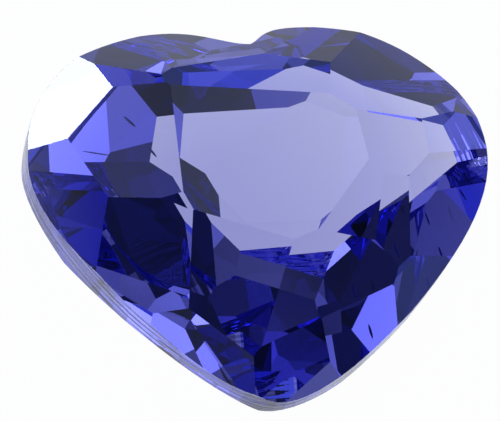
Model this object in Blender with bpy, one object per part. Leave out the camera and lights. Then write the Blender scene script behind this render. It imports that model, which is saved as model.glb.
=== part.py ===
"""A loose heart cut blue sapphire, made as a cutter makes it: a heart shaped blank with a polished
girdle, then one flat cut after another on its crown and on its pavilion. The stone lies on its
culet, a small flat cut at the bottom of the pavilion that leans a little with the stone.

The cuts are laid out in the cutter's frame: x across the heart, y from its tip to its cleft, z along
the table's normal, with z = 0 at the girdle's upper edge. The finished stone is then turned to lie
on its resting facet. Lengths are in millimetres until the last step, which scales to metres."""

import math

import bmesh
import bpy
from mathutils import Matrix, Vector

METRES_PER_MM = 0.001

# Driving dimensions of the stone, in millimetres
CROWN_HEIGHT = 0.94
GIRDLE_THICKNESS = 0.53
BLANK_DEPTH = 4.5
BLANK_HEIGHT = 1.5
SNAP_DISTANCE = 0.002
ORDER_DIGITS = 8

# The heart outline at the girdle, as Bezier curves: start, start handle, end handle, end
CLEFT = (0.0, 2.43)
TIP = (0.0, -3.34)
RIGHT_HALF = (
    (CLEFT, (0.19, 2.52), (0.22, 2.83), (0.81, 2.85)),
    ((0.81, 2.85), (1.40, 2.87), (2.12, 2.74), (2.62, 2.40)),
    ((2.62, 2.40), (3.30, 1.93), (3.68, 1.31), (3.68, 0.59)),
    ((3.68, 0.59), (3.68, -0.09), (3.05, -1.03), (2.18, -1.98)),
    ((2.18, -1.98), (1.50, -2.65), (0.62, -3.34), TIP),
)
LEFT_HALF = (
    (CLEFT, (-0.34, 2.43), (-0.62, 2.74), (-1.18, 2.76)),
    ((-1.18, 2.76), (-1.84, 2.76), (-2.49, 2.46), (-2.90, 2.17)),
    ((-2.90, 2.17), (-3.38, 1.74), (-3.57, 1.21), (-3.57, 0.62)),
    ((-3.57, 0.62), (-3.57, -0.06), (-2.99, -0.97), (-2.18, -1.87)),
    ((-2.18, -1.87), (-1.50, -2.57), (-0.62, -3.31), TIP),
)
OUTLINE_STEPS = 12

# The cutting list. Each cut has a name, the azimuth it faces and its slope from the table, both in
# degrees, and its distance in millimetres from the middle of the girdle's edge on its own side.
CROWN_CUTS = (
    ("crown under cleft", 86, 30.5, 1.51),
    ("crown shoulder left", 121.5, 32, 1.89),
    ("crown shoulder right", 55, 32.5, 1.69),
    ("crown side left", 182, 19.5, 1.35),
    ("crown side right", 9, 20, 1.42),
    ("crown low left", 205, 20, 1.35),
    ("crown low right", -26.5, 21.5, 1.39),
    ("crown flank left", 214, 25.5, 1.43),
    ("crown flank right", -38, 13, 1.16),
    ("crown tip left", 251.5, 17, 1.17),
    ("crown tip right", 291.5, 22, 1.28),
    ("break lobe left", 101.5, 42, 1.93),
    ("break lobe right", 84.5, 38, 1.71),
    ("break at cleft", 92, 43, 1.82),
    ("break shoulder left", 153.5, 40, 2.26),
    ("break shoulder right", 38, 36, 2.07),
    ("break side right", 8, 29, 1.76),
    ("break low right", -16.5, 33, 1.75),
    ("break low left", 195.5, 37, 1.91),
    ("break flank left", 222.5, 42, 2.06),
    ("break flank right", -38.5, 41.5, 2.01),
    ("break tip left", 239.5, 38, 1.89),
    ("break tip right", -67.5, 33.5, 1.64),
)
PAVILION_CUTS = (
    ("main right", 24.5, 24, 1.81),
    ("main under cleft", 96, 30.5, 1.87),
    ("culet", 42.5, 16.5, 1.65),
    ("main left", 221, 15.5, 1.75),
    ("keel left upper", 199, 28.5, 1.73),
    ("keel right", -74, 37, 1.91),
    ("keel right upper", -54.5, 20.5, 1.69),
    ("girdle at cleft", 94.5, 50.5, 2.02),
    ("girdle side right", 24, 41, 2.45),
    ("girdle shoulder left", 131, 40.5, 2.10),
    ("girdle shoulder right", 57.5, 44, 2.21),
    ("girdle flank left", 230.5, 44, 1.88),
    ("girdle flank right", -34.5, 42.5, 1.78),
    ("girdle tip left", 204, 40.5, 2.13),
    ("girdle tip right", -83.5, 31.5, 1.72),
)
RESTING_CUT = "culet"

SAPPHIRE_COLOUR = (0.10, 0.12, 0.50, 1.0)
SAPPHIRE_IOR = 1.77


def bezier_points(start, start_handle, end_handle, end):
    """Points along a cubic Bezier curve, its last point left out."""
    points = []
    for step in range(OUTLINE_STEPS):
        t = step / OUTLINE_STEPS
        s = 1.0 - t
        weights = (s**3, 3 * s * s * t, 3 * s * t * t, t**3)
        corners = (start, start_handle, end_handle, end)
        x = sum(weight * corner[0] for weight, corner in zip(weights, corners))
        y = sum(weight * corner[1] for weight, corner in zip(weights, corners))
        points.append((x, y))
    return points


def heart_outline():
    """The closed outline, counter-clockwise as seen from the table."""
    right = [point for curve in RIGHT_HALF for point in bezier_points(*curve)]
    left = [point for curve in LEFT_HALF for point in bezier_points(*curve)]
    clockwise = right + [TIP] + left[:0:-1]
    return clockwise[::-1]


def heart_blank():
    """A straight sided heart shaped block, tall enough for every cut."""
    mesh = bmesh.new()
    bottom = [mesh.verts.new((x, y, -BLANK_DEPTH)) for x, y in heart_outline()]
    face = mesh.faces.new(bottom)
    extruded = bmesh.ops.extrude_face_region(mesh, geom=[face])
    top = [item for item in extruded["geom"] if isinstance(item, bmesh.types.BMVert)]
    bmesh.ops.translate(mesh, verts=top, vec=(0.0, 0.0, BLANK_DEPTH + BLANK_HEIGHT))
    bmesh.ops.recalc_face_normals(mesh, faces=mesh.faces)
    return mesh


def facet_normal(azimuth, slope, side):
    """Outward normal of a cut; side is 1 on the crown and -1 on the pavilion."""
    turn = math.radians(azimuth)
    tilt = math.radians(slope)
    return Vector((
        math.cos(turn) * math.sin(tilt),
        math.sin(turn) * math.sin(tilt),
        side * math.cos(tilt),
    ))


def grind(mesh, normal, distance, middle):
    """Cuts away all that lies beyond a plane and closes the stone with one flat facet."""
    bmesh.ops.bisect_plane(
        mesh,
        geom=mesh.verts[:] + mesh.edges[:] + mesh.faces[:],
        dist=SNAP_DISTANCE,
        plane_co=middle + normal * distance,
        plane_no=normal,
        clear_outer=True,
    )
    following = {}
    for edge in mesh.edges:
        if edge.is_boundary:
            rim = edge.link_loops[0]
            following[rim.link_loop_next.vert] = rim.vert
    while following:
        first = next(iter(following))
        corners = [first]
        corner = following.pop(first)
        while corner != first:
            corners.append(corner)
            corner = following.pop(corner)
        mesh.faces.new(corners)


def cut_stone():
    mesh = heart_blank()
    upper = Vector((0.0, 0.0, 0.0))
    lower = Vector((0.0, 0.0, -GIRDLE_THICKNESS))
    grind(mesh, facet_normal(0.0, 0.0, 1), CROWN_HEIGHT, upper)
    for name, azimuth, slope, distance in CROWN_CUTS:
        grind(mesh, facet_normal(azimuth, slope, 1), distance, upper)
    for name, azimuth, slope, distance in PAVILION_CUTS:
        grind(mesh, facet_normal(azimuth, slope, -1), distance, lower)
    return mesh


def lay_down(mesh):
    """Turns the stone onto its resting facet, cleft away from the viewer, and centres its base."""
    azimuth, slope = next((cut[1], cut[2]) for cut in PAVILION_CUTS if cut[0] == RESTING_CUT)
    normal = facet_normal(azimuth, slope, -1)
    down = normal.rotation_difference(Vector((0.0, 0.0, -1.0))).to_matrix().to_4x4()
    cleft = down @ Vector((0.0, 1.0, 0.0))
    yaw = Matrix.Rotation(math.atan2(cleft.x, cleft.y), 4, "Z")
    bmesh.ops.transform(mesh, matrix=Matrix.Scale(METRES_PER_MM, 4) @ yaw @ down, verts=mesh.verts)
    lowest = Vector(min(vert.co[axis] for vert in mesh.verts) for axis in range(3))
    highest = Vector(max(vert.co[axis] for vert in mesh.verts) for axis in range(3))
    middle = (lowest + highest) / 2
    bmesh.ops.translate(mesh, verts=mesh.verts, vec=(-middle.x, -middle.y, -lowest.z))


def sapphire_material():
    material = bpy.data.materials.new("sapphire")
    material.use_nodes = True
    surface = material.node_tree.nodes["Principled BSDF"]
    surface.inputs["Base Color"].default_value = SAPPHIRE_COLOUR
    surface.inputs["Roughness"].default_value = 0.0
    surface.inputs["Metallic"].default_value = 0.0
    surface.inputs["IOR"].default_value = SAPPHIRE_IOR
    surface.inputs["Transmission Weight"].default_value = 1.0
    return material


def corners_and_facets(mesh):
    """The stone's corners and its facets' rings of corners, both in a fixed order."""
    corners = sorted(mesh.verts, key=lambda vert: [round(value, ORDER_DIGITS) for value in vert.co])
    number = {vert: index for index, vert in enumerate(corners)}
    facets = []
    for face in mesh.faces:
        ring = [number[vert] for vert in face.verts]
        start = ring.index(min(ring))
        facets.append(ring[start:] + ring[:start])
    return [vert.co[:] for vert in corners], sorted(facets)


def make_sapphire():
    mesh = cut_stone()
    lay_down(mesh)
    corners, facets = corners_and_facets(mesh)
    mesh.free()
    data = bpy.data.meshes.new("sapphire")
    data.from_pydata(corners, [], facets)
    data.materials.append(sapphire_material())
    stone = bpy.data.objects.new("sapphire", data)
    bpy.context.scene.collection.objects.link(stone)


for leftover in list(bpy.data.objects):
    bpy.data.objects.remove(leftover, do_unlink=True)
make_sapphire()
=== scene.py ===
import math

import bmesh
import bpy
from mathutils import Matrix, Vector


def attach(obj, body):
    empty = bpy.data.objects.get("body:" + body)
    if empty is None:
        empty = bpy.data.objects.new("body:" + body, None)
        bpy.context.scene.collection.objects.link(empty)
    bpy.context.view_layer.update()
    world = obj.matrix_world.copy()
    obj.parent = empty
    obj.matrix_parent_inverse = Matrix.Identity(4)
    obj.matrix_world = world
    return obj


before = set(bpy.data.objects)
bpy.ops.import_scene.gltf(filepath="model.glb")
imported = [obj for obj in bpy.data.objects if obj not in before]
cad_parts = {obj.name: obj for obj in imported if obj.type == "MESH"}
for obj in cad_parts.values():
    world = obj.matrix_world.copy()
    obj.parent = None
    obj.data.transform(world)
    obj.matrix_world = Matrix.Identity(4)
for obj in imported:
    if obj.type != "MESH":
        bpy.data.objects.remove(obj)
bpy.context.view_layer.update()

# Sizes are in metres and angles in degrees, unless a name says otherwise
MM = 0.001

# The picture's frame: its width, and how many of its pixels one millimetre of the stone covers
FRAME_WIDTH_PX = 500
PIXELS_PER_MM = 64.7

# Camera: a long close-up lens that looks down on the stone. Its axis and its upright are directions
# in the stone's resting frame, and its range is a share of its distance
CAMERA_AXIS = Vector((0.012, -0.155, 0.988))
CAMERA_UP = Vector((0.091, 0.984, 0.154))
LENS_MM = 400.0
SENSOR_MM = 36.0
AIM_POINT = Vector((0.0, 0.0, 1.9)) * MM
AIM_LEFT_PX = 10.0
AIM_UP_PX = 8.0
CLIP_NEAR = 0.1
CLIP_FAR = 20.0

# Sapphire: refractive index, and how much red, green and blue light a millimetre takes away
SAPPHIRE_IOR = 1.77
ABSORPTION_PER_MM = (0.266, 0.269, 0.066)

# The stone's own upright direction, its table's normal, in the resting frame
STONE_UP = Vector((0.2134, 0.1875, 0.9588))

# Girdle finish: fine polishing lines that run round the stone, close together up its side and long
# along it. The girdle is where the surface leans no more than the limit, a sine, from upright
GIRDLE_LINES_PER_MM = 9.0
GIRDLE_LINES_ALONG_PER_MM = 0.7
GIRDLE_LINE_HEIGHT = 0.02 * MM
GIRDLE_LINE_DETAIL = 1.0
GIRDLE_LEAN_LIMIT = 0.2

# Natural growth needles inside the crystal: name, both ends and thickness, in millimetres
INCLUSION_NEEDLES = (
    ("needle_left", (-2.61, 1.12, 2.66), (-2.12, 0.98, 2.75), 0.022),
    ("needle_lobe_back", (-1.91, 1.60, 2.59), (-1.73, 1.40, 2.59), 0.045),
    ("needle_lobe_front", (-1.58, 1.08, 2.72), (-1.45, 0.88, 2.77), 0.040),
    ("needle_middle", (-0.97, 0.39, 2.39), (-0.84, 0.50, 2.35), 0.020),
)
NEEDLE_SIDES = 6
NEEDLE_RINGS = 7
NEEDLE_BLUNTNESS = 0.5
NEEDLE_COLOUR = (0.02, 0.03, 0.16, 1.0)
NEEDLE_PALE_COLOUR = (0.06, 0.09, 0.48, 1.0)
NEEDLE_ROUGHNESS = 0.35
NEEDLE_GRAINS_PER_MM = 12.0

# The pale light table: half its width, its hair's gap below the stone, and its glow. The stone sees
# a white pool close by and blue dusk beyond it, as in a dim room
TABLE_HALF_WIDTH = 0.35
TABLE_GAP = 0.02 * MM
TABLE_BODY_COLOUR = (0.05, 0.05, 0.05, 1.0)
TABLE_GLOW = 0.97
TABLE_POOL_NEAR = 5.0 * MM
TABLE_POOL_FAR = 14.0 * MM
TABLE_SEEN = (1.0, 1.0, 1.0, 1.0)
TABLE_NEAR_COLOUR = (0.82, 0.85, 0.91, 1.0)
TABLE_FAR_COLOUR = (0.22, 0.30, 0.95, 1.0)

# Studio: soft round lamps far off, with what each one lights, its azimuth, elevation, angular
# radius and strength. A lamp's edge fades over this share of its radius, inwards and outwards
SOFTBOXES = (
    ("glare on the left shoulder", 126, 9, 5, 12.0),
    ("left shoulder low", 130, 10, 12, 0.8),
    ("left shoulder", 130, 20, 12, 1.2),
    ("left shoulder high", 125, 40, 12, 0.4),
    ("left lobe low", 150, 2, 14, 1.6),
    ("left side low", 180, 2, 12, 1.0),
    ("left side", -180, 20, 12, 0.5),
    ("left side high", -180, 30, 12, 0.4),
    ("left flank", -155, 20, 12, 0.7),
    ("left tip", -120, 10, 12, 0.4),
    ("tip low", -85, 2, 12, 1.0),
    ("tip", -70, 30, 12, 0.5),
    ("tip high", -95, 40, 12, 0.7),
    ("tip above", -95, 60, 12, 0.6),
    ("right tip", -35, 10, 12, 0.4),
    ("right side", -10, 10, 12, 0.5),
    ("right shoulder", 35, 2, 12, 0.7),
    ("right lobe low", 70, 10, 12, 0.7),
    ("cleft", 90, 20, 12, 0.4),
    ("cleft high", 75, 50, 12, 0.4),
    ("back above", 70, 70, 12, 0.9),
    ("left above", 135, 50, 12, 0.4),
    ("veil on the table", 44, 42, 8, 2.2),
    ("veil on the table, right", 34, 42, 8, 1.4),
    ("spark on the left side", 167, 30, 7, 3.2),
    ("veil over the lobe", 64, 60, 8, 1.5),
    ("spark on the right flank", -36, 46, 5, 3.0),
    ("spark on the flank", -135, 54, 4, 2.0),
)
LAMP_EDGE_SOFTNESS = 0.5
LAMP_COLOUR = (0.78, 0.86, 1.0, 1.0)
ROOM_GLOW = 0.05
ROOM_COLOUR = (0.45, 0.60, 1.0, 1.0)
BACKDROP = (1.0, 1.0, 1.0, 1.0)

# Bounces that light may take inside the stone, and a few more for the way in and out
STONE_BOUNCES = 24
SPARE_BOUNCES = 8


def direction(azimuth, elevation):
    """The direction from the stone towards a lamp."""
    turn, rise = math.radians(azimuth), math.radians(elevation)
    level = math.cos(rise)
    return Vector((math.cos(turn) * level, math.sin(turn) * level, math.sin(rise)))


def make_camera():
    data = bpy.data.cameras.new("camera")
    data.lens = LENS_MM
    data.sensor_width = SENSOR_MM
    distance = LENS_MM / SENSOR_MM * FRAME_WIDTH_PX / PIXELS_PER_MM * MM
    data.clip_start = distance * CLIP_NEAR
    data.clip_end = distance * CLIP_FAR
    camera = bpy.data.objects.new("camera", data)
    bpy.context.scene.collection.objects.link(camera)
    back = CAMERA_AXIS.normalized()
    right = CAMERA_UP.cross(back).normalized()
    up = back.cross(right)
    turn = Matrix((right, up, back)).transposed()
    aim = AIM_POINT + (up * AIM_UP_PX - right * AIM_LEFT_PX) / PIXELS_PER_MM * MM
    camera.matrix_world = Matrix.Translation(aim + back * distance) @ turn.to_4x4()
    bpy.context.scene.camera = camera


def softbox_glow(nodes, links, ray, azimuth, elevation, radius, strength):
    """Glow of one round softbox, bright in its middle and soft at its edge."""
    facing = nodes.new("ShaderNodeVectorMath")
    facing.operation = "DOT_PRODUCT"
    facing.inputs[1].default_value = direction(azimuth, elevation)
    links.new(ray, facing.inputs[0])
    outer = math.radians(radius * (1 + LAMP_EDGE_SOFTNESS))
    inner = math.radians(radius * (1 - LAMP_EDGE_SOFTNESS))
    fade = nodes.new("ShaderNodeMapRange")
    fade.interpolation_type = "SMOOTHSTEP"
    fade.inputs["From Min"].default_value = math.cos(outer)
    fade.inputs["From Max"].default_value = math.cos(inner)
    fade.inputs["To Max"].default_value = strength
    links.new(facing.outputs["Value"], fade.inputs["Value"])
    return fade.outputs["Result"]


def all_softboxes(nodes, links):
    """Glow of all the softboxes together."""
    ray = nodes.new("ShaderNodeTexCoord").outputs["Generated"]
    glows = [softbox_glow(nodes, links, ray, *softbox[1:]) for softbox in SOFTBOXES]
    total = glows[0]
    for glow in glows[1:]:
        add = nodes.new("ShaderNodeMath")
        add.operation = "ADD"
        links.new(total, add.inputs[0])
        links.new(glow, add.inputs[1])
        total = add.outputs[0]
    return total


def make_studio():
    """Lamps and a dim blue room for the stone, in front of a backdrop that looks plain white."""
    world = bpy.data.worlds.new("studio")
    bpy.context.scene.world = world
    world.use_nodes = True
    nodes, links = world.node_tree.nodes, world.node_tree.links
    nodes.clear()
    lamps = nodes.new("ShaderNodeBackground")
    lamps.inputs["Color"].default_value = LAMP_COLOUR
    links.new(all_softboxes(nodes, links), lamps.inputs["Strength"])
    room = nodes.new("ShaderNodeBackground")
    room.inputs["Color"].default_value = ROOM_COLOUR
    room.inputs["Strength"].default_value = ROOM_GLOW
    lit = nodes.new("ShaderNodeAddShader")
    links.new(lamps.outputs[0], lit.inputs[0])
    links.new(room.outputs[0], lit.inputs[1])
    backdrop = nodes.new("ShaderNodeBackground")
    backdrop.inputs["Color"].default_value = BACKDROP
    mix = nodes.new("ShaderNodeMixShader")
    links.new(nodes.new("ShaderNodeLightPath").outputs["Is Camera Ray"], mix.inputs[0])
    links.new(lit.outputs[0], mix.inputs[1])
    links.new(backdrop.outputs[0], mix.inputs[2])
    output = nodes.new("ShaderNodeOutputWorld")
    links.new(mix.outputs[0], output.inputs["Surface"])


def table_pool(nodes, links):
    """Colour of the table's glow: even to the eye, but to the stone a pool that fades to dusk."""
    reach = nodes.new("ShaderNodeVectorMath")
    reach.operation = "LENGTH"
    links.new(nodes.new("ShaderNodeTexCoord").outputs["Object"], reach.inputs[0])
    fade = nodes.new("ShaderNodeMapRange")
    fade.interpolation_type = "SMOOTHSTEP"
    fade.inputs["From Min"].default_value = TABLE_POOL_NEAR
    fade.inputs["From Max"].default_value = TABLE_POOL_FAR
    links.new(reach.outputs["Value"], fade.inputs["Value"])
    pool = nodes.new("ShaderNodeMix")
    pool.data_type = "RGBA"
    pool.inputs["A"].default_value = TABLE_NEAR_COLOUR
    pool.inputs["B"].default_value = TABLE_FAR_COLOUR
    links.new(fade.outputs["Result"], pool.inputs["Factor"])
    seen = nodes.new("ShaderNodeMix")
    seen.data_type = "RGBA"
    seen.inputs["B"].default_value = TABLE_SEEN
    links.new(nodes.new("ShaderNodeLightPath").outputs["Is Camera Ray"], seen.inputs["Factor"])
    links.new(pool.outputs["Result"], seen.inputs["A"])
    return seen.outputs["Result"]


def make_light_table():
    mesh = bpy.data.meshes.new("light_table")
    w = TABLE_HALF_WIDTH
    mesh.from_pydata([(-w, -w, 0), (w, -w, 0), (w, w, 0), (-w, w, 0)], [], [(0, 1, 2, 3)])
    material = bpy.data.materials.new("pale_light_table")
    material.use_nodes = True
    nodes, links = material.node_tree.nodes, material.node_tree.links
    surface = nodes["Principled BSDF"]
    surface.inputs["Base Color"].default_value = TABLE_BODY_COLOUR
    surface.inputs["Roughness"].default_value = 1.0
    surface.inputs["Specular IOR Level"].default_value = 0.0
    surface.inputs["Emission Strength"].default_value = TABLE_GLOW
    links.new(table_pool(nodes, links), surface.inputs["Emission Color"])
    mesh.materials.append(material)
    floor = bpy.data.objects.new("light_table", mesh)
    bpy.context.scene.collection.objects.link(floor)
    floor.location.z = -TABLE_GAP


def girdle_lines(nodes, links):
    """Normal with fine polishing lines on the girdle alone; the facets stay perfectly flat."""
    shape = nodes.new("ShaderNodeNewGeometry")
    facing = nodes.new("ShaderNodeVectorMath")
    facing.operation = "DOT_PRODUCT"
    facing.inputs[1].default_value = STONE_UP
    links.new(shape.outputs["True Normal"], facing.inputs[0])
    lean = nodes.new("ShaderNodeMath")
    lean.operation = "ABSOLUTE"
    links.new(facing.outputs["Value"], lean.inputs[0])
    girdle = nodes.new("ShaderNodeMath")
    girdle.operation = "LESS_THAN"
    girdle.inputs[1].default_value = GIRDLE_LEAN_LIMIT
    links.new(lean.outputs[0], girdle.inputs[0])
    turn = nodes.new("ShaderNodeMapping")
    turn.vector_type = "TEXTURE"
    turn.inputs["Rotation"].default_value = STONE_UP.to_track_quat("Z", "Y").to_euler()
    links.new(nodes.new("ShaderNodeTexCoord").outputs["Object"], turn.inputs["Vector"])
    stretch = nodes.new("ShaderNodeVectorMath")
    stretch.operation = "MULTIPLY"
    along = GIRDLE_LINES_ALONG_PER_MM / MM
    stretch.inputs[1].default_value = (along, along, GIRDLE_LINES_PER_MM / MM)
    links.new(turn.outputs[0], stretch.inputs[0])
    lines = nodes.new("ShaderNodeTexNoise")
    lines.inputs["Scale"].default_value = 1.0
    lines.inputs["Detail"].default_value = GIRDLE_LINE_DETAIL
    links.new(stretch.outputs[0], lines.inputs["Vector"])
    bump = nodes.new("ShaderNodeBump")
    bump.inputs["Distance"].default_value = GIRDLE_LINE_HEIGHT
    links.new(girdle.outputs[0], bump.inputs["Strength"])
    links.new(lines.outputs["Fac"], bump.inputs["Height"])
    return bump.outputs[0]


def sapphire_material():
    """Clear polished crystal that takes its blue from the depth that light crosses."""
    material = bpy.data.materials.new("clear_sapphire")
    material.use_nodes = True
    nodes, links = material.node_tree.nodes, material.node_tree.links
    surface = nodes["Principled BSDF"]
    surface.inputs["Base Color"].default_value = (1.0, 1.0, 1.0, 1.0)
    surface.inputs["Roughness"].default_value = 0.0
    surface.inputs["IOR"].default_value = SAPPHIRE_IOR
    surface.inputs["Transmission Weight"].default_value = 1.0
    depth = nodes.new("ShaderNodeVolumeAbsorption")
    density = max(ABSORPTION_PER_MM) / MM
    colour = [1.0 - value / MM / density for value in ABSORPTION_PER_MM]
    depth.inputs["Color"].default_value = (*colour, 1.0)
    depth.inputs["Density"].default_value = density
    links.new(depth.outputs[0], nodes["Material Output"].inputs["Volume"])
    links.new(girdle_lines(nodes, links), surface.inputs["Normal"])
    return material


def dress_stone():
    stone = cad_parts["sapphire"]
    stone.data.materials.clear()
    stone.data.materials.append(sapphire_material())


def needle_material():
    """Dark growth needle, its colour broken up along its length."""
    material = bpy.data.materials.new("growth_needle")
    material.use_nodes = True
    nodes, links = material.node_tree.nodes, material.node_tree.links
    surface = nodes["Principled BSDF"]
    surface.inputs["Roughness"].default_value = NEEDLE_ROUGHNESS
    grain = nodes.new("ShaderNodeTexNoise")
    grain.inputs["Scale"].default_value = NEEDLE_GRAINS_PER_MM / MM
    links.new(nodes.new("ShaderNodeTexCoord").outputs["Object"], grain.inputs["Vector"])
    shade = nodes.new("ShaderNodeMix")
    shade.data_type = "RGBA"
    shade.inputs["A"].default_value = NEEDLE_COLOUR
    shade.inputs["B"].default_value = NEEDLE_PALE_COLOUR
    links.new(grain.outputs["Fac"], shade.inputs["Factor"])
    links.new(shade.outputs["Result"], surface.inputs["Base Color"])
    return material


def make_needle(name, start, end, thickness, material):
    """A thin spindle between two points inside the stone."""
    start, end = Vector(start) * MM, Vector(end) * MM
    along = (end - start).normalized()
    side = along.orthogonal().normalized()
    other = along.cross(side)
    mesh = bmesh.new()
    rings = []
    for ring in range(1, NEEDLE_RINGS):
        share = ring / NEEDLE_RINGS
        radius = thickness * MM / 2 * math.sin(math.pi * share) ** NEEDLE_BLUNTNESS
        centre = start.lerp(end, share)
        turns = [math.tau * corner / NEEDLE_SIDES for corner in range(NEEDLE_SIDES)]
        rings.append([
            mesh.verts.new(centre + (side * math.cos(turn) + other * math.sin(turn)) * radius)
            for turn in turns
        ])
    tips = mesh.verts.new(start), mesh.verts.new(end)
    for corner in range(NEEDLE_SIDES):
        following = (corner + 1) % NEEDLE_SIDES
        mesh.faces.new((tips[0], rings[0][following], rings[0][corner]))
        mesh.faces.new((tips[1], rings[-1][corner], rings[-1][following]))
        for near, far in zip(rings, rings[1:]):
            mesh.faces.new((near[corner], near[following], far[following], far[corner]))
    data = bpy.data.meshes.new(name)
    mesh.to_mesh(data)
    mesh.free()
    data.materials.append(material)
    needle = bpy.data.objects.new(name, data)
    bpy.context.scene.collection.objects.link(needle)
    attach(needle, "root")


make_camera()
make_studio()
make_light_table()
dress_stone()
growth_needle = needle_material()
for name, start, end, thickness in INCLUSION_NEEDLES:
    make_needle(name, start, end, thickness, growth_needle)

scene = bpy.context.scene
scene.view_settings.view_transform = "Standard"
scene.cycles.max_bounces = STONE_BOUNCES + SPARE_BOUNCES
scene.cycles.glossy_bounces = STONE_BOUNCES
scene.cycles.transmission_bounces = STONE_BOUNCES
